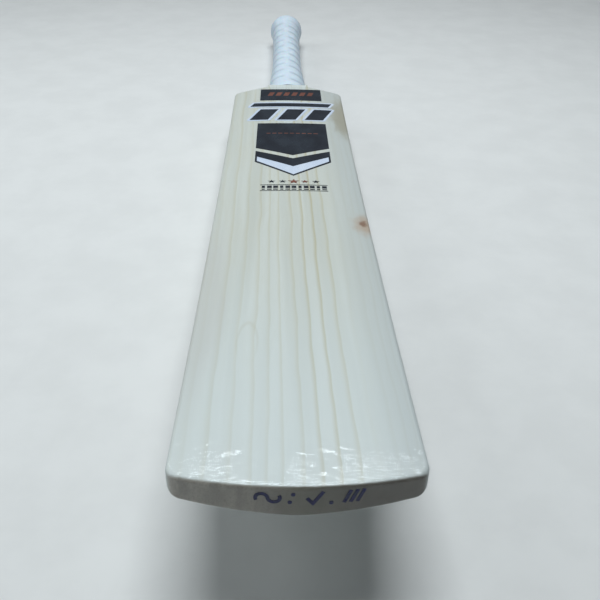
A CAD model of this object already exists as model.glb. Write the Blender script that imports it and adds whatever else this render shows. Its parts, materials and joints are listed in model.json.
import json
import math
import bmesh
import bpy
from mathutils import Matrix, Vector, noise
from mathutils.bvhtree import BVHTree


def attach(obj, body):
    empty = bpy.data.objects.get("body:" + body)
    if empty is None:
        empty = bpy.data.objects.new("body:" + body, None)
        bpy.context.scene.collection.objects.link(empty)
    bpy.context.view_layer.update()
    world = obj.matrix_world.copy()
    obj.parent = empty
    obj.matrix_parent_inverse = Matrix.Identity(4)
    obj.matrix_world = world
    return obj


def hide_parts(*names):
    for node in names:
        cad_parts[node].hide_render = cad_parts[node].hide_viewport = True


# The looks of a cricket bat in its clear shop film. Everything below is laid out in the bat's own
# frame in millimetres (X across the face, Y from the toe to the butt, Z out of the face) and is
# carried into the row frame with the place and axis of the mount called grip.

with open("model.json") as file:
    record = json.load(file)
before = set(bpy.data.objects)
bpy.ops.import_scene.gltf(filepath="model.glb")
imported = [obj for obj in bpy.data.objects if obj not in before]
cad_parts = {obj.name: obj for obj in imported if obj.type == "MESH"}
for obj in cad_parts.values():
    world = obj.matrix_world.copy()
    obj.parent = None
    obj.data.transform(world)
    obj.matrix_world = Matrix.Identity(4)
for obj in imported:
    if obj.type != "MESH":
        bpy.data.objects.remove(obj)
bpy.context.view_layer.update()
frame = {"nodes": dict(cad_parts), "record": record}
nodes = frame["nodes"]

MM = 0.001
GRIP_MOUNT_AT = Vector((0.0, 725.0, -17.0))


def bat_frame():
    """The bat's own frame, in millimetres, as a matrix into the row frame, in metres."""
    mount = next(m for m in frame["record"]["mounts"] if m["name"] == "grip")
    along = Vector(mount["axis"]).normalized()
    across = Vector((1, 0, 0))
    turn = Matrix((across, along, across.cross(along))).transposed()
    origin = Vector(mount["pos_m"]) - turn @ (GRIP_MOUNT_AT * MM)
    return Matrix.Translation(origin) @ turn.to_4x4() @ Matrix.Scale(MM, 4)


BAT = bat_frame()
BAT_BACK = BAT.inverted()

# ---- shape of the bat that the new pieces follow -------------------------------------------

BOW_START_Y = 555.0
BOW_RADIUS = 6100.0
CAMBER_RADIUS = 900.0
HANDLE_Z = -17.0
GRIP_START_Y = 569.0
SLEEVE_SKIN = 2.5            # twine and rubber together
RIM_RADIUS = 18.4            # of the handle at the butt, under the sleeve
BEAD_START_Y = 850.6         # where the sleeve rounds over the butt
BEAD_RADIUS = 3.3
LIP_Y = 853.9                # outer face of the lip
LIP_OPENING = 13.0
FILM_END_Y = 560.5
RIB_PITCH = 25.0
RIB_FIRST_Y = 586.4
RIB_DEPTH = 0.95
RIB_STAGGER = 0.42           # the left half's ribs sit this much of a pitch nearer the butt
RIB_SWEEP = 4.0              # how far each rib leans over a quarter turn, in millimetres


def face_height(x, y):
    """Height of the blade's face at a point of its plan."""
    bow = BOW_RADIUS - math.sqrt(BOW_RADIUS**2 - max(BOW_START_Y - y, 0.0) ** 2)
    return bow - (CAMBER_RADIUS - math.sqrt(CAMBER_RADIUS**2 - x * x))


def smooth(t):
    t = min(max(t, 0.0), 1.0)
    return t * t * (3 - 2 * t)


def along_table(table, y):
    """Read a list of (station, value, ...) rows at y, straight from row to row."""
    if y <= table[0][0]:
        return table[0][1:]
    for low, high in zip(table, table[1:]):
        if y <= high[0]:
            t = (y - low[0]) / (high[0] - low[0])
            return tuple(a + (b - a) * t for a, b in zip(low[1:], high[1:]))
    return table[-1][1:]


# ---- a short way to write node materials ---------------------------------------------------

class Look:
    """A procedural material read in the bat's own millimetres."""

    def __init__(self, name, roughness=0.5, **constants):
        self.material = bpy.data.materials.new(name)
        self.material.use_nodes = True
        self.tree = self.material.node_tree
        self.shader = self.tree.nodes["Principled BSDF"]
        self.shader.inputs["Roughness"].default_value = roughness
        for socket, value in constants.items():
            self.shader.inputs[socket.replace("_", " ")].default_value = value
        place = self.node("ShaderNodeMapping", vector_type="TEXTURE")
        place.inputs["Location"].default_value = BAT.translation
        place.inputs["Rotation"].default_value = BAT.to_euler()
        place.inputs["Scale"].default_value = (MM, MM, MM)
        self.link(self.node("ShaderNodeTexCoord").outputs["Object"], place.inputs["Vector"])
        self.point = place.outputs["Vector"]
        parts = self.node("ShaderNodeSeparateXYZ")
        self.link(self.point, parts.inputs[0])
        self.x, self.y, self.z = parts.outputs

    def node(self, kind, **settings):
        made = self.tree.nodes.new(kind)
        for key, value in settings.items():
            setattr(made, key, value)
        return made

    def link(self, source, socket):
        if isinstance(source, (int, float, tuple)):
            socket.default_value = source
        else:
            self.tree.links.new(source, socket)

    def math(self, operation, a, b=0.0, clamp=False):
        made = self.node("ShaderNodeMath", operation=operation, use_clamp=clamp)
        self.link(a, made.inputs[0])
        self.link(b, made.inputs[1])
        return made.outputs[0]

    def span(self, value, start, end, low=0.0, high=1.0):
        """Smoothly from low to high while value goes from start to end."""
        made = self.node("ShaderNodeMapRange", interpolation_type="SMOOTHSTEP", clamp=True)
        self.link(value, made.inputs["Value"])
        for name, number in (("From Min", start), ("From Max", end), ("To Min", low), ("To Max", high)):
            made.inputs[name].default_value = number
        return made.outputs["Result"]

    def vector(self, x, y, z):
        made = self.node("ShaderNodeCombineXYZ")
        for socket, value in zip(made.inputs, (x, y, z)):
            self.link(value, socket)
        return made.outputs[0]

    def stretched(self, x_size, y_size, z_size):
        """The point counted in grains of these sizes, in millimetres."""
        made = self.node("ShaderNodeVectorMath", operation="DIVIDE")
        self.link(self.point, made.inputs[0])
        made.inputs[1].default_value = (x_size, y_size, z_size)
        return made.outputs[0]

    def plan(self, x, y, x_size, y_size, level):
        """Two measures counted in grains of these sizes, at one level of a pattern."""
        return self.vector(self.math("DIVIDE", x, x_size), self.math("DIVIDE", y, y_size), level)

    def noise(self, vector, detail=3.0, roughness=0.5, distortion=0.0, scale=1.0):
        made = self.node("ShaderNodeTexNoise")
        self.link(vector, made.inputs["Vector"])
        made.inputs["Scale"].default_value = scale
        made.inputs["Detail"].default_value = detail
        made.inputs["Roughness"].default_value = roughness
        made.inputs["Distortion"].default_value = distortion
        return made.outputs[0]

    def mix(self, amount, a, b, blend="MIX"):
        made = self.node("ShaderNodeMix", data_type="RGBA", blend_type=blend)
        self.link(amount, made.inputs[0])
        self.link(a, made.inputs[6])
        self.link(b, made.inputs[7])
        return made.outputs[2]

    def ellipse(self, x, y, half_x, half_y, ragged=0.0):
        """Distance from the middle of an ellipse on the face, 1 on its edge."""
        dx = self.math("DIVIDE", self.math("SUBTRACT", self.x, x), half_x)
        dy = self.math("DIVIDE", self.math("SUBTRACT", self.y, y), half_y)
        squares = self.math("ADD", self.math("MULTIPLY", dx, dx), self.math("MULTIPLY", dy, dy))
        far = self.math("SQRT", squares)
        if ragged:
            rag = self.noise(self.stretched(half_x / 2, half_y / 2, 30.0), detail=4.0)
            far = self.math("ADD", far, self.math("MULTIPLY", self.math("SUBTRACT", rag, 0.5), ragged))
        return far

    def bump(self, height, distance, strength=1.0):
        made = self.node("ShaderNodeBump")
        made.inputs["Strength"].default_value = strength
        made.inputs["Distance"].default_value = distance * MM
        self.link(height, made.inputs["Height"])
        self.link(made.outputs[0], self.shader.inputs["Normal"])

    def finish(self, colour, roughness=None):
        self.link(colour, self.shader.inputs["Base Color"])
        if roughness is not None:
            self.link(roughness, self.shader.inputs["Roughness"])
        return self.material


def facing(look, direction):
    """How squarely a surface faces a direction of the bat's own frame, 1 when it faces it."""
    made = look.node("ShaderNodeVectorMath", operation="DOT_PRODUCT")
    look.link(look.node("ShaderNodeNewGeometry").outputs["Normal"], made.inputs[0])
    made.inputs[1].default_value = (BAT.to_3x3() @ Vector(direction)).normalized()
    return made.outputs["Value"]


# ---- wood ----------------------------------------------------------------------------------

# place across the toe, width of the dark side and strength of each growth ring
RINGS = (
    (-51.5, 2.5, 0.30), (-46.5, 5.0, 0.22), (-37.5, 4.5, 0.48), (-27.6, 4.0, 0.42), (-18.9, 4.0, 0.50),
    (-12.4, 3.2, 0.48), (-6.2, 3.0, 0.55), (2.5, 4.0, 0.62), (9.9, 3.4, 1.00), (17.3, 3.4, 1.10),
    (25.2, 4.0, 0.75),
    (33.5, 4.5, 0.16), (41.5, 3.5, 0.22), (47.0, 2.6, 0.36), (51.3, 2.2, 0.34),
    (56.5, 3.5, 0.70), (60.0, 3.0, 0.85), (65.5, 4.0, 0.75),
)
RING_DRIFT = 0.0085          # sideways, for each millimetre along the blade
RING_BEND = 230.0            # the larger, the straighter the rings run into the blade


def growth_rings(look):
    """Thin dark lines of late wood, the place across them, and the depth below the face."""
    wander = look.noise(look.plan(look.x, look.y, 60.0, 120.0, 0.0), 2.0)
    small = look.noise(look.plan(look.x, look.y, 14.0, 46.0, 3.0), 2.0)
    across = look.math("ADD", look.x, look.math("MULTIPLY", look.y, RING_DRIFT))
    across = look.math("ADD", across, look.math("MULTIPLY", look.math("SUBTRACT", wander, 0.5), 5.0))
    across = look.math("ADD", across, look.math("MULTIPLY", look.math("SUBTRACT", small, 0.5), 2.0))
    # Around a pin knot the rings swing aside.
    near_pin = look.span(look.ellipse(-24.2, 104.0, 13.0, 42.0), 0.2, 1.0, 1.0, 0.0)
    across = look.math("ADD", across, look.math("MULTIPLY", near_pin, 1.6))
    # Deeper in the blade the rings bend to one side, which draws long curves on the back and the sides.
    short = look.math("MAXIMUM", look.math("SUBTRACT", BOW_START_Y, look.y), 0.0)
    bow = look.math("DIVIDE", look.math("MULTIPLY", short, short), 2 * BOW_RADIUS)
    depth = look.math("MAXIMUM", look.math("SUBTRACT", look.math("SUBTRACT", bow, look.z), 2.5), 0.0)
    across = look.math("ADD", across, look.math("DIVIDE", look.math("MULTIPLY", depth, depth), RING_BEND))
    total = 0.0
    for x, width, strength in RINGS:
        rise = look.span(across, x - width, x)
        drop = look.span(across, x, x + 0.8)
        line = look.math("SUBTRACT", rise, drop, clamp=True)
        line = look.math("POWER", line, 2.4)
        total = look.math("ADD", total, look.math("MULTIPLY", line, strength))
    return total, across, depth


def willow():
    """Pale sanded willow: straight grain, a knot at one edge, a stain, a darker end grain."""
    look = Look("willow", 0.5, Specular_IOR_Level=0.35)
    rings, across, deep = growth_rings(look)
    tone = look.noise(look.plan(across, look.y, 9.0, 420.0, 0.0), 2.0)
    fibres = look.noise(look.stretched(0.55, 34.0, 0.55), 5.0, 0.62)
    figure = look.noise(look.stretched(7.0, 60.0, 9.0), 4.0, 0.55, 0.6)
    colour = look.mix(look.span(tone, 0.32, 0.70), (0.555, 0.578, 0.535, 1), (0.640, 0.665, 0.625, 1))
    colour = look.mix(look.span(figure, 0.35, 0.75, 0.0, 0.40), colour, (0.590, 0.588, 0.505, 1))
    colour = look.mix(look.span(fibres, 0.25, 0.8, 0.0, 0.34), colour, (0.540, 0.555, 0.490, 1))
    near_toe = look.span(look.y, 0.0, 260.0, 0.60, 0.0)
    colour = look.mix(near_toe, colour, (0.670, 0.735, 0.745, 1))
    # The rings fade a little towards the toe.
    fade = look.span(look.y, -20.0, 330.0, 0.52, 1.0)
    ringed = look.math("MULTIPLY", look.math("MULTIPLY", rings, fade), 0.60, clamp=True)
    colour = look.mix(ringed, colour, (0.455, 0.405, 0.235, 1))
    # A faint grey stain lies near the left edge.
    shade = look.span(look.ellipse(-50.0, 150.0, 16.0, 120.0, 0.7), 0.3, 1.1, 0.42, 0.0)
    colour = look.mix(shade, colour, (0.520, 0.515, 0.490, 1))
    # The face darkens towards its right edge.
    slanted = look.math("ADD", look.x, look.math("MULTIPLY", look.y, 0.02))
    right_edge = look.span(slanted, 26.0, 58.0, 0.0, 0.66)
    colour = look.mix(right_edge, colour, (0.455, 0.490, 0.490, 1))
    # A warm stain lies near the right shoulder.
    stain = look.span(look.ellipse(52.0, 476.0, 13.0, 58.0, 0.9), 0.45, 1.20, 0.88, 0.0)
    colour = look.mix(stain, colour, (0.345, 0.325, 0.255, 1))
    # The red-brown knot on the right edge, with its dark heart.
    shallow = look.span(deep, 2.0, 20.0, 1.0, 0.0)
    knot = look.span(look.ellipse(51.5, 250.5, 8.5, 15.0, 0.8), 0.35, 1.5, 0.60, 0.0)
    colour = look.mix(look.math("MULTIPLY", knot, shallow), colour, (0.42, 0.27, 0.16, 1))
    heart = look.span(look.ellipse(49.5, 252.0, 3.6, 6.0, 0.9), 0.3, 1.1, 0.75, 0.0)
    colour = look.mix(look.math("MULTIPLY", heart, shallow), colour, (0.19, 0.09, 0.05, 1))
    # The pin knot is an open loop.
    loop = look.ellipse(-24.2, 104.0, 5.4, 20.0, 0.12)
    ring = look.math("SUBTRACT", look.span(loop, 0.80, 0.97), look.span(loop, 1.0, 1.16), clamp=True)
    ring = look.math("MULTIPLY", ring, look.span(look.y, 84.0, 112.0))
    colour = look.mix(look.math("MULTIPLY", ring, 0.16), colour, (0.42, 0.38, 0.24, 1))
    # End grain on the toe drinks more light than the face.
    toe = look.span(facing(look, (0, -1, 0)), 0.35, 0.8)
    toe = look.math("MULTIPLY", toe, look.span(look.y, 30.0, 20.0))
    pores = look.noise(look.stretched(0.8, 0.8, 0.8), 3.0, 0.7)
    layers = look.vector(look.math("DIVIDE", across, 7.0), 0.0, look.math("DIVIDE", look.z, 26.0))
    bands = look.noise(layers, 3.0, 0.6)
    end_grain = look.mix(look.span(bands, 0.3, 0.7), (0.350, 0.325, 0.285, 1), (0.490, 0.455, 0.400, 1))
    end_grain = look.mix(look.span(pores, 0.4, 0.75, 0.0, 0.5), end_grain, (0.215, 0.205, 0.170, 1))
    green = look.span(look.ellipse(8.0, 2.0, 17.0, 60.0, 0.8), 0.3, 1.1, 0.35, 0.0)
    end_grain = look.mix(green, end_grain, (0.25, 0.27, 0.16, 1))
    end_grain = look.mix(look.span(look.x, -50.0, 30.0, 0.0, 0.84), end_grain, (0.104, 0.094, 0.076, 1))
    colour = look.mix(toe, colour, end_grain)
    relief = look.math("ADD", look.math("MULTIPLY", fibres, 0.6), look.math("MULTIPLY", rings, -0.5))
    look.bump(relief, 0.12, 0.55)
    return look.finish(colour, look.span(fibres, 0.2, 0.8, 0.46, 0.62))


def cane():
    """Laminated cane: bundles of pale fibres with darker pores, seen at the butt and the neck."""
    look = Look("cane", 0.55)
    streak = look.noise(look.stretched(0.5, 40.0, 0.5), 5.0, 0.65)
    dots = look.node("ShaderNodeTexVoronoi", feature="F1")
    look.link(look.stretched(0.75, 60.0, 0.75), dots.inputs["Vector"])
    dots.inputs["Scale"].default_value = 1.0
    pores = look.span(dots.outputs["Distance"], 0.10, 0.36, 1.0, 0.0)
    colour = look.mix(look.span(streak, 0.3, 0.72), (0.570, 0.605, 0.565, 1), (0.645, 0.700, 0.705, 1))
    colour = look.mix(look.math("MULTIPLY", pores, 0.30), colour, (0.40, 0.34, 0.22, 1))
    look.bump(look.math("SUBTRACT", streak, pores), 0.10, 0.6)
    return look.finish(colour, look.span(streak, 0.2, 0.8, 0.45, 0.7))


def spring_rubber():
    """Thin dark sheet rubber between the cane slabs."""
    look = Look("spring_rubber", 0.7)
    dust = look.noise(look.stretched(1.2, 6.0, 1.2), 5.0, 0.7)
    colour = look.mix(look.span(dust, 0.35, 0.75), (0.030, 0.020, 0.016, 1), (0.085, 0.060, 0.045, 1))
    look.bump(dust, 0.08, 0.5)
    return look.finish(colour, look.span(dust, 0.2, 0.8, 0.6, 0.85))


def twine():
    """Waxed thread wound turn against turn round the cane."""
    look = Look("twine", 0.6)
    turns = look.math("SINE", look.math("MULTIPLY", look.y, 2 * math.pi / 0.9))
    twist = look.math("ADD", look.math("MULTIPLY", look.x, 5.2), look.math("MULTIPLY", look.y, 4.0))
    strand = look.math("SINE", twist)
    wax = look.noise(look.stretched(6.0, 3.0, 6.0), 4.0)
    colour = look.mix(look.span(wax, 0.3, 0.7), (0.60, 0.53, 0.38, 1), (0.76, 0.70, 0.56, 1))
    colour = look.mix(look.span(turns, -1.0, -0.2, 0.55, 0.0), colour, (0.28, 0.22, 0.13, 1))
    look.bump(look.math("ADD", turns, look.math("MULTIPLY", strand, 0.3)), 0.25, 0.8)
    return look.finish(colour, look.span(wax, 0.2, 0.8, 0.45, 0.7))


# ---- rubber, print, ink and film -----------------------------------------------------------

def grip_rubber():
    """Soft white moulded rubber, slightly blue, with a fine matt skin and faint dust."""
    look = Look("grip_rubber", 0.5, Specular_IOR_Level=0.4, Subsurface_Weight=0.12, Subsurface_Scale=0.004)
    skin = look.noise(look.stretched(0.35, 0.35, 0.35), 3.0, 0.7)
    dust = look.noise(look.stretched(9.0, 16.0, 9.0), 5.0, 0.6)
    colour = look.mix(look.span(dust, 0.3, 0.75), (0.640, 0.740, 0.830, 1), (0.700, 0.790, 0.870, 1))
    colour = look.mix(look.span(skin, 0.45, 0.85, 0.0, 0.25), colour, (0.58, 0.66, 0.72, 1))
    # Handling leaves the grooves and the flanks a little greyer.
    up = look.math("SUBTRACT", look.z, HANDLE_Z)
    across = look.math("MULTIPLY", look.x, look.x)
    far = look.math("SQRT", look.math("ADD", across, look.math("MULTIPLY", up, up)))
    turned = look.math("DIVIDE", look.x, far)
    flank = look.math("ABSOLUTE", turned)
    left_half = look.math("LESS_THAN", look.x, 0.0)
    phase = look.math("SUBTRACT", look.y, RIB_FIRST_Y)
    phase = look.math("ADD", phase, look.math("MULTIPLY", turned, RIB_SWEEP))
    shifted = look.math("MULTIPLY", left_half, RIB_STAGGER)
    phase = look.math("SUBTRACT", look.math("DIVIDE", phase, RIB_PITCH), shifted)
    wave = look.math("FRACT", phase)
    from_groove = look.math("MINIMUM", wave, look.math("SUBTRACT", 1.0, wave))
    groove = look.span(from_groove, 0.02, 0.24, 1.0, 0.0)
    groove = look.math("MULTIPLY", groove, look.span(flank, 0.02, 0.40))
    # The right half's grooves show more than the left half's.
    strength = look.math("SUBTRACT", 0.62, look.math("MULTIPLY", left_half, 0.20))
    groove = look.math("MULTIPLY", groove, strength)
    groove = look.math("MULTIPLY", groove, look.span(look.y, 574.0, 586.0))
    groove = look.math("MULTIPLY", groove, look.span(look.y, 838.0, 828.0))
    colour = look.mix(groove, colour, (0.36, 0.43, 0.50, 1))
    colour = look.mix(look.span(flank, 0.45, 1.0, 0.0, 0.42), colour, (0.36, 0.43, 0.50, 1))
    look.bump(skin, 0.06, 0.5)
    return look.finish(colour, look.span(dust, 0.25, 0.8, 0.42, 0.60))


def printed(name, dark, light, flake=0.0, roughness=0.22):
    """Glossy print: a slightly uneven ink with fine screen lines and a few worn specks."""
    look = Look(name, roughness, Coat_Weight=0.6, Coat_Roughness=0.12)
    cloud = look.noise(look.stretched(16.0, 26.0, 16.0), 4.0, 0.55)
    lines = look.math("SINE", look.math("MULTIPLY", look.math("ADD", look.x, look.y), 2 * math.pi / 1.1))
    speck = look.noise(look.stretched(0.6, 0.6, 0.6), 2.0, 0.8)
    colour = look.mix(look.span(cloud, 0.3, 0.72), dark, light)
    colour = look.mix(look.span(lines, -1.0, 1.0, 0.0, 0.16), colour, light)
    colour = look.mix(look.span(speck, 0.74 - flake, 0.84, 0.0, 0.5), colour, (0.42, 0.42, 0.38, 1))
    look.bump(look.math("ADD", cloud, look.math("MULTIPLY", lines, 0.08)), 0.06, 0.4)
    return look.finish(colour, look.span(cloud, 0.3, 0.8, roughness - 0.06, roughness + 0.12))


def pen_ink():
    """Marker ink soaked into end grain, thinner in places along the stroke."""
    look = Look("pen_ink", 0.6, Specular_IOR_Level=0.1)
    flow = look.noise(look.stretched(2.2, 2.2, 2.2), 4.0, 0.6)
    pores = look.noise(look.stretched(0.5, 0.5, 0.5), 3.0, 0.7)
    colour = look.mix(look.span(flow, 0.3, 0.75), (0.006, 0.006, 0.060, 1), (0.014, 0.013, 0.120, 1))
    colour = look.mix(look.span(pores, 0.6, 0.85, 0.0, 0.2), colour, (0.05, 0.05, 0.14, 1))
    look.bump(pores, 0.05, 0.4)
    return look.finish(colour, look.span(flow, 0.2, 0.8, 0.38, 0.6))


def clear_film():
    """Thin clear shrink film: nearly all of it is see-through, and what is left is gloss."""
    look = Look("clear_film", 0.10, Metallic=1.0, Alpha=0.042)
    haze = look.noise(look.stretched(5.0, 9.0, 5.0), 3.0, 0.6)
    fine = look.noise(look.stretched(5.0, 9.0, 5.0), 3.0, 0.5, 0.4)
    pulled = look.noise(look.stretched(6.5, 1.3, 2.2), 2.0, 0.45, 0.5)
    # Only the end by the toe is pulled, and not all the way across.
    bunches = look.span(look.noise(look.stretched(20.0, 60.0, 60.0), 1.0), 0.38, 0.58)
    at_toe = look.math("MULTIPLY", look.span(look.y, 27.0, 8.0), bunches)
    fine = look.math("ADD", look.math("MULTIPLY", fine, 0.35), look.math("MULTIPLY", pulled, at_toe))
    colour = look.mix(look.span(haze, 0.3, 0.7), (0.86, 0.92, 0.98, 1), (0.97, 0.99, 1.0, 1))
    look.bump(fine, 1.0, 1.0)
    look.material.surface_render_method = "BLENDED"
    return look.finish(colour, look.span(haze, 0.2, 0.8, 0.06, 0.20))


def pale_floor():
    """A plain pale studio floor."""
    look = Look("pale_floor", 0.75)
    grain = look.noise(look.stretched(40.0, 40.0, 40.0), 4.0, 0.6)
    look.bump(grain, 0.05, 0.2)
    return look.finish(look.mix(look.span(grain, 0.3, 0.7), (0.70, 0.70, 0.69, 1), (0.735, 0.735, 0.725, 1)))


# ---- new pieces ----------------------------------------------------------------------------

def add_piece(name, points, faces, material, replaced):
    """A mesh given in the bat's own millimetres, riding on the bat in place of a CAD node."""
    mesh = bpy.data.meshes.new(name)
    mesh.from_pydata([BAT @ Vector(p) for p in points], [], faces)
    mesh.validate()
    mesh.polygons.foreach_set("use_smooth", [True] * len(mesh.polygons))
    mesh.materials.append(material)
    piece = bpy.data.objects.new(name, mesh)
    bpy.context.scene.collection.objects.link(piece)
    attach(piece, "root")
    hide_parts(replaced)
    return piece


# station and half width and half height of the handle under its twine
NECK = (
    (568.0, 19.2, 16.5), (600.0, 17.8, 16.0), (622.0, 16.8, 15.5), (640.0, 15.8, 15.0),
    (656.0, 15.1, 14.7), (673.0, 14.6, 14.4), (690.0, 14.3, 14.3), (760.0, 14.3, 14.3),
    (772.0, 14.38, 14.38), (785.0, 14.6, 14.6),
    (796.0, 14.82, 14.82), (808.0, 15.1, 15.1), (817.0, 15.45, 15.45), (826.0, 16.0, 16.0),
    (832.0, 16.6, 16.6), (838.0, 17.4, 17.4), (842.0, 18.0, 18.0),
    (844.5, RIM_RADIUS, RIM_RADIUS), (854.0, RIM_RADIUS, RIM_RADIUS),
)


def rib_groove(y, angle):
    """Depth of the soft grooves between the ribs: two staggered halves with a plain parting strip."""
    side = 1.0 if angle >= 0 else -1.0
    turn = abs(angle)
    parting = smooth((turn - 0.03) / 0.28) * smooth((math.pi - turn - 0.03) / 0.28)
    lean = -side * RIB_SWEEP * math.sin(turn)
    phase = (y - RIB_FIRST_Y - lean) / RIB_PITCH - (RIB_STAGGER if side < 0 else 0.0)
    wave = phase - math.floor(phase)
    from_groove = min(wave, 1 - wave)
    deep = math.exp(-((from_groove / 0.17) ** 2))
    ends = smooth((y - 576.0) / 10.0) * smooth((838.0 - y) / 12.0)
    return RIB_DEPTH * deep * (0.18 + 0.82 * parting) * ends


def grip_sleeve():
    """The rubber grip: a rolled lower edge, chevron ribs in two halves, the bead and lip at the butt."""
    around = 144
    rim = RIM_RADIUS + SLEEVE_SKIN
    profile = [("inside", GRIP_START_Y + 6.0, 0.3), ("inside", GRIP_START_Y + 0.9, 0.1)]
    profile += [("edge", a) for a in range(0, 181, 22)]
    steps = 360
    first, last = GRIP_START_Y + 1.3, BEAD_START_Y
    profile += [("outside", first + (last - first) * i / steps) for i in range(steps + 1)]
    profile += [("bead", a) for a in range(10, 91, 10)]
    profile += [("lip", r) for r in (17.4, 16.4, 15.4, 14.4, 13.7, 13.2, 13.0)]
    profile += [("bore", d) for d in (0.6, 1.4, 2.6)]
    points, faces = [], []
    for row in profile:
        kind = row[0]
        for i in range(around):
            angle = 2 * math.pi * i / around - math.pi
            sin_a, cos_a = math.sin(angle), math.cos(angle)
            if kind == "inside":
                y = row[1]
                half_x, half_z = (v + row[2] for v in along_table(NECK, y))
            elif kind == "edge":
                # The lower edge is rolled, and wanders a little, as one that was pushed on by hand.
                wander = 0.5 * noise.noise(Vector((sin_a * 1.3, cos_a * 1.3, 4.0)))
                roll = math.radians(row[1])
                y = GRIP_START_Y + 1.1 - 1.0 * math.sin(roll) + wander * math.sin(roll)
                out = 0.65 - 0.55 * math.cos(roll)
                half_x, half_z = (v + out for v in along_table(NECK, y))
            elif kind == "outside":
                y = row[1]
                bead = 0.30 * math.exp(-(((y - GRIP_START_Y - 2.2) / 1.7) ** 2))
                crease = 0.14 * noise.noise(Vector((sin_a * 2.0, cos_a * 2.0, y / 9.0)))
                crease += 0.22 * math.exp(-(((y - 842.5) / 1.6) ** 2))
                taper = 1.25 * (1 - smooth((y - GRIP_START_Y) / 9.0))
                out = SLEEVE_SKIN + bead - 0.10 - taper - rib_groove(y, angle) - abs(crease)
                half_x, half_z = (v + out for v in along_table(NECK, y))
            elif kind == "bead":
                roll = math.radians(row[1])
                y = BEAD_START_Y + BEAD_RADIUS * math.sin(roll)
                half_x = half_z = rim - 0.1 - BEAD_RADIUS * (1 - math.cos(roll))
            elif kind == "lip":
                dish = 0.25 * smooth((16.4 - row[1]) / 3.4)
                y = LIP_Y - dish - 0.08 * abs(noise.noise(Vector((sin_a * 3, cos_a * 3, 9.0))))
                half_x = half_z = row[1]
            else:
                y = LIP_Y - 0.25 - row[1]
                half_x = half_z = LIP_OPENING
            points.append((half_x * sin_a, y, HANDLE_Z + half_z * cos_a))
    for j in range(len(profile) - 1):
        for i in range(around):
            k = (i + 1) % around
            faces.append((j * around + i, j * around + k, (j + 1) * around + k, (j + 1) * around + i))
    return add_piece("grip_sleeve", points, faces, grip_rubber(), "rubber_grip")


# creases in the film on the face: start, end, height and width in millimetres
CREASES = (
    ((17.4, 182.3), (33.0, 187.5), 0.34, 1.4), ((36.7, 188.6), (49.0, 184.6), 0.36, 1.3),
    ((20.0, 178.0), (30.0, 181.0), 0.30, 1.3), ((48.5, 166.0), (54.0, 161.0), 0.34, 1.3),
    ((44.0, 99.0), (52.0, 96.2), 0.34, 1.3), ((-50.0, 173.8), (-39.5, 168.2), 0.32, 1.3),
    ((-46.0, 93.8), (-43.0, 93.0), 0.28, 1.3), ((-54.0, 300.0), (-46.0, 296.0), 0.22, 1.5),
    ((46.0, 330.0), (54.0, 338.0), 0.20, 1.6),
)


FILM_MIDDLE = 0.32           # depth of the sheet's middle height below the outside of its solid
FILM_LOW, FILM_HIGH = -0.16, 0.28    # how far the sheet may leave that height
FILM_MESH_SIZE = 1.4


def crease_height(x, y):
    """How far the creases drawn on the face lift the film, in millimetres."""
    total = 0.0
    for (x0, y0), (x1, y1), height, width in CREASES:
        dx, dy = x1 - x0, y1 - y0
        t = min(max(((x - x0) * dx + (y - y0) * dy) / (dx * dx + dy * dy), 0.0), 1.0)
        far = math.hypot(x - x0 - t * dx, y - y0 - t * dy)
        if far < 4 * width:
            ends = 0.35 + 0.65 * math.sin(math.pi * (0.1 + 0.8 * t))
            total += height * math.exp(-((far / width) ** 2)) * ends
    return total


def film_wrinkle(p, n):
    """How far the film stands off its middle height, in millimetres, at a point of the blade."""
    x, y, z = p
    lift = 0.05 * noise.noise(Vector((x / 16, y / 34, z / 16)))
    if n.z > 0.5:
        lift += crease_height(x, y)
        # Pulled folds near the toe, in three bunches that slant outwards.
        for centre, spread, slant in ((-38.0, 15.0, 0.5), (12.0, 13.0, -0.35), (48.0, 9.0, -0.9)):
            near = math.exp(-(((x - centre) / spread) ** 2)) * smooth((34.0 - y) / 16.0)
            along = x * math.cos(slant) + y * math.sin(slant)
            across = -x * math.sin(slant) + y * math.cos(slant)
            lift += 0.95 * near * noise.noise(Vector((along / 9.0, across / 3.4, centre)))
    # The whole toe is crinkled where the film shrank over its edges.
    toe = smooth((16.0 - y) / 14.0)
    lift += 0.45 * toe * noise.noise(Vector((x / 5.5, y / 4.0, z / 4.2)))
    # Slack along the sides and gathers over the shoulders.
    side = smooth((abs(n.x) - 0.4) / 0.4)
    lift += 0.12 * side * noise.noise(Vector((x / 20, y / 13, z / 5)))
    top = smooth((y - 536.0) / 20.0)
    lift += 0.20 * top * noise.noise(Vector((x / 3.4, y / 13.0, z / 3.4)))
    back = smooth((-n.z - 0.2) / 0.4)
    lift += 0.14 * back * noise.noise(Vector((x / 7, y / 30, 5.0)))
    return min(max(lift, FILM_LOW), FILM_HIGH)


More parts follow.
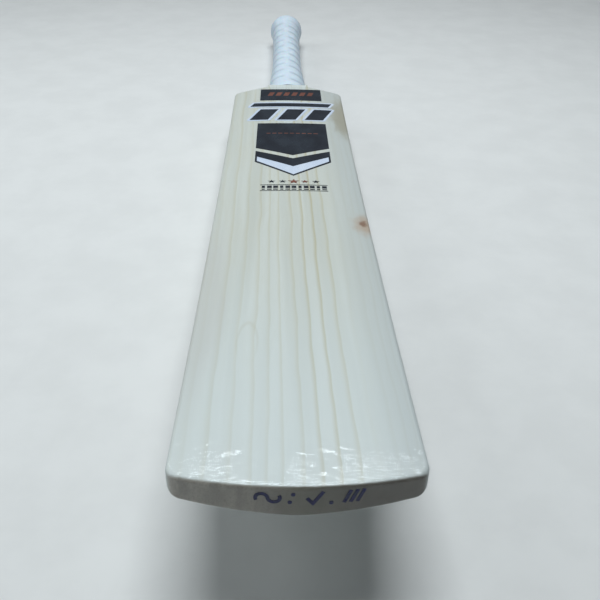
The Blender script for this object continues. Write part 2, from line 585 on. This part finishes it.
def film_skin():
    """The shrink film as one thin wrinkled sheet that closes round the blade."""
    # The outer faces of the film's solid are the ones that nothing covers.
    source = nodes["film_wrap"].data
    points = [BAT_BACK @ v.co for v in source.vertices]
    source.calc_loop_triangles()
    triangles = [tuple(t.vertices) for t in source.loop_triangles]
    solid = BVHTree.FromPolygons(points, triangles)
    outer = []
    for tri in triangles:
        a, b, c = (points[i] for i in tri)
        normal = (b - a).cross(c - a)
        if normal.length < 1e-9:
            continue
        normal.normalize()
        centre = (a + b + c) / 3
        on_rim = normal.y > 0.9 and centre.y > FILM_END_Y
        if not on_rim and solid.ray_cast(centre + normal * 0.05, normal)[0] is None:
            outer.append(tri)
    shell = BVHTree.FromPolygons(points, outer)
    # A closed rough copy, remeshed into even squares.
    rough = bpy.data.meshes.new("film_rough")
    rough.from_pydata([tuple(p) for p in points], [], outer)
    rough_object = bpy.data.objects.new("film_rough", rough)
    bpy.context.scene.collection.objects.link(rough_object)
    edit = bmesh.new()
    edit.from_mesh(rough)
    bmesh.ops.remove_doubles(edit, verts=edit.verts, dist=0.01)
    loose = [v for v in edit.verts if not v.link_faces]
    bmesh.ops.delete(edit, geom=loose, context="VERTS")
    rim = [e for e in edit.edges if len(e.link_faces) == 1]
    bmesh.ops.triangle_fill(edit, edges=rim, use_beauty=True)
    edit.to_mesh(rough)
    edit.free()
    remesh = rough_object.modifiers.new("even", "REMESH")
    remesh.mode = "VOXEL"
    remesh.voxel_size = FILM_MESH_SIZE
    even = rough_object.evaluated_get(bpy.context.evaluated_depsgraph_get()).to_mesh()
    moved = []
    for v in even.vertices:
        near, normal, _, _ = shell.find_nearest(v.co)
        lift = film_wrinkle(near, normal)
        moved.append(near + normal * (lift - FILM_MIDDLE))
    faces = []
    for f in even.polygons:
        centre = sum((even.vertices[i].co for i in f.vertices), Vector()) / len(f.vertices)
        if centre.y < FILM_END_Y - 0.4:
            faces.append(tuple(f.vertices))
    used = sorted({i for f in faces for i in f})
    index = {old: new for new, old in enumerate(used)}
    points = [moved[i] for i in used]
    faces = [tuple(index[i] for i in f) for f in faces]
    print("film", len(points), "points", len(faces), "faces")
    rough_object.to_mesh_clear()
    bpy.data.objects.remove(rough_object)
    return add_piece("film_skin", points, faces, clear_film(), "film_wrap")


# ---- the CAD nodes that stay -----------------------------------------------------------------

def dress_nodes():
    """Give every CAD node that stays its own material."""
    black = printed("transfer_black", (0.010, 0.013, 0.022, 1), (0.022, 0.030, 0.044, 1))
    white = printed("transfer_white", (0.70, 0.79, 0.95, 1), (0.77, 0.85, 0.98, 1))
    rust = printed("transfer_red", (0.18, 0.060, 0.042, 1), (0.26, 0.095, 0.065, 1), 0.04)
    looks = {
        "willow": willow(), "cane": cane(), "spring_rubber": spring_rubber(), "twine": twine(),
        "transfer_black": black, "transfer_white": white, "transfer_red": rust, "pen_ink": pen_ink(),
    }
    for part in frame["record"]["subparts"]:
        look = looks.get(part["material_slot"])
        if look is None:
            continue
        mesh = nodes[part["node"]].data
        mesh.materials.clear()
        mesh.materials.append(look)


# ---- floor, lights and camera ----------------------------------------------------------------

def add_floor():
    size = 4.0
    corners = [(-size, -size, 0), (size, -size, 0), (size, size, 0), (-size, size, 0)]
    mesh = bpy.data.meshes.new("floor")
    mesh.from_pydata(corners, [], [(0, 1, 2, 3)])
    mesh.materials.append(pale_floor())
    floor = bpy.data.objects.new("floor", mesh)
    bpy.context.scene.collection.objects.link(floor)


def add_light(name, place, target, size, watts, colour):
    lamp = bpy.data.lights.new(name, "AREA")
    lamp.shape = "RECTANGLE"
    lamp.size, lamp.size_y = size
    lamp.energy = watts
    lamp.color = colour
    light = bpy.data.objects.new(name, lamp)
    light.location = place
    light.rotation_mode = "QUATERNION"
    light.rotation_quaternion = (Vector(target) - Vector(place)).to_track_quat("-Z", "Y")
    bpy.context.scene.collection.objects.link(light)


def add_lights():
    world = bpy.data.worlds.new("studio")
    world.use_nodes = True
    background = world.node_tree.nodes["Background"]
    background.inputs[0].default_value = (0.86, 0.94, 1.0, 1)
    # What is seen past the floor is pale, while the room lights the bat only faintly.
    seen = world.node_tree.nodes.new("ShaderNodeMapRange")
    seen.inputs["To Min"].default_value = 0.09
    seen.inputs["To Max"].default_value = 0.50
    rays = world.node_tree.nodes.new("ShaderNodeLightPath")
    world.node_tree.links.new(rays.outputs["Is Camera Ray"], seen.inputs["Value"])
    world.node_tree.links.new(seen.outputs["Result"], background.inputs[1])
    bpy.context.scene.world = world
    add_light("over", (0.0, -0.12, 1.5), (0.0, -0.08, 0.0), (0.9, 0.8), 15.5, (0.90, 0.97, 1.0))
    # A strip behind the bat glints in the folds of the film.
    add_light("behind", (0.05, 0.55, 1.15), (0.0, -0.3, 0.0), (0.8, 0.16), 4.6, (0.92, 0.97, 1.0))
    add_light("left", (-1.2, 0.1, 0.9), (0.0, 0.0, 0.0), (0.5, 0.9), 4.4, (0.90, 0.97, 1.0))


CAMERA_AT = Vector((-7.344, -199.440, 247.530))
CAMERA_PITCH, CAMERA_YAW, CAMERA_ROLL = 33.9632, 1.8342, 1.1404
FOCAL = 744.987 / 600        # focal length in image widths
SENSOR = 36.0


def add_camera():
    pitch, yaw, roll = (math.radians(a) for a in (CAMERA_PITCH, CAMERA_YAW, CAMERA_ROLL))
    ahead = Vector((math.sin(yaw) * math.cos(pitch), math.cos(yaw) * math.cos(pitch), -math.sin(pitch)))
    right = Vector((math.cos(yaw), -math.sin(yaw), 0.0))
    above = right.cross(ahead)
    side = right * math.cos(roll) + above * math.sin(roll)
    top = -right * math.sin(roll) + above * math.cos(roll)
    turn = BAT.to_3x3() * (1 / MM) @ Matrix((side, top, -ahead)).transposed()
    data = bpy.data.cameras.new("camera")
    data.sensor_width = SENSOR
    data.lens = FOCAL * SENSOR
    data.clip_start = 0.02
    camera = bpy.data.objects.new("camera", data)
    camera.matrix_world = Matrix.Translation(BAT @ CAMERA_AT) @ turn.to_4x4()
    bpy.context.scene.collection.objects.link(camera)
    bpy.context.scene.camera = camera


add_camera()
add_floor()
add_lights()
dress_nodes()
grip_sleeve()
film_skin()
bpy.context.scene.view_settings.view_transform = "Standard"
